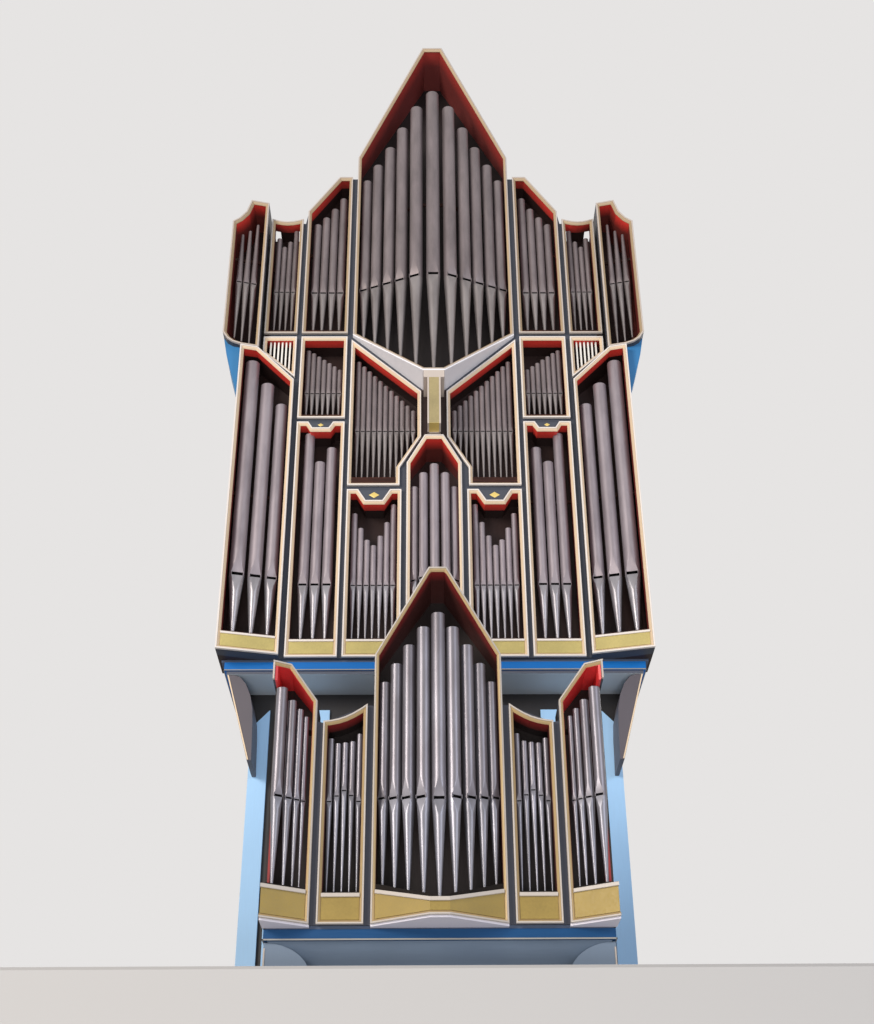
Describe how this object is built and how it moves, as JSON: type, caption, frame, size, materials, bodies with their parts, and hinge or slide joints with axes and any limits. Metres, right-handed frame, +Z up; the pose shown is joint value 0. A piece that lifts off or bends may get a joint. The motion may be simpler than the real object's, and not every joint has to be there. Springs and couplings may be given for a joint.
{
  "type": "pipe organ",
  "caption": "Two-case church pipe organ: tall main case with prow tower and turned pedal towers over an overhanging base, with a small chair case in front.",
  "frame": {"origin": "on the floor, on the symmetry plane, below the front of the main case", "axes": "+Z up, the organ's fronts face -Y, +X to the right seen from the front"},
  "size_m": [3.76, 3.964, 9.68],
  "materials": {
    "case_anthracite": "satin blue-grey paint on wood",
    "plinth_dark": "dark satin paint",
    "band_blue": "bright blue satin paint",
    "underside_grey": "grey-blue satin paint",
    "panel_light_blue": "light blue satin paint",
    "cove_blue": "blue satin paint",
    "soffit_white": "near white paint",
    "keel_cream": "cream paint with a gilt strip",
    "frame_cream": "white edging with a cream moulding",
    "frame_gold": "gold and white painted moulding",
    "lining_red": "vermilion paint",
    "gilt_panel": "dull gold paint",
    "slat_white": "white paint",
    "plate_dark": "dark paint with a plain gilt motif",
    "toe_wood": "reddish brown stained wood",
    "pipe_metal": "satin planed tin alloy",
    "keydesk_oak": "oiled oak",
    "key_ivory": "ivory-coloured key tops",
    "key_dark": "black stained hardwood sharps"
  },
  "bodies": {
    "root": {"lower_case": "case_anthracite", "case_panels": "panel_light_blue", "case_brackets": "underside_grey", "case_plinth": "plinth_dark", "case_band": "band_blue", "case_soffit": "underside_grey", "lower_body": "case_anthracite", "upper_body": "case_anthracite", "tower_body": "case_anthracite", "outer_bodies": "case_anthracite", "lower_back": "case_anthracite", "upper_back": "case_anthracite", "tower_back": "case_anthracite", "v_soffit": "soffit_white", "chair_soffit": "soffit_white", "keel": "keel_cream", "lower_frames": "frame_cream", "middle_frames": "frame_cream", "upper_frames": "frame_cream", "tower_frame": "frame_cream", "field_linings": "lining_red", "tower_lining": "lining_red", "wing_coves": "cove_blue", "grille_slats": "slat_white", "gilt_panels": "gilt_panel", "name_plates": "plate_dark", "toe_boards": "toe_wood", "stay_rails": "toe_wood", "tower_pipes": "pipe_metal", "lower_pipes": "pipe_metal", "pedal_pipes": "pipe_metal", "middle_pipes": "pipe_metal", "upper_pipes": "pipe_metal", "keydesk": "keydesk_oak", "natural_keys": "key_ivory", "sharp_keys": "key_dark", "pedalboard": "keydesk_oak", "chair_tower_body": "case_anthracite", "chair_side_bodies": "case_anthracite", "chair_back": "case_anthracite", "chair_tower_back": "case_anthracite", "chair_plinth": "plinth_dark", "chair_band": "band_blue", "chair_underside": "underside_grey", "tracker_duct": "case_anthracite", "chair_tower_frame": "frame_gold", "chair_side_frames": "frame_gold", "chair_linings": "lining_red", "chair_panels": "gilt_panel", "chair_toes": "toe_wood", "chair_stays": "toe_wood", "chair_tower_pipes": "pipe_metal", "chair_side_pipes": "pipe_metal"}
  },
  "joints": []
}
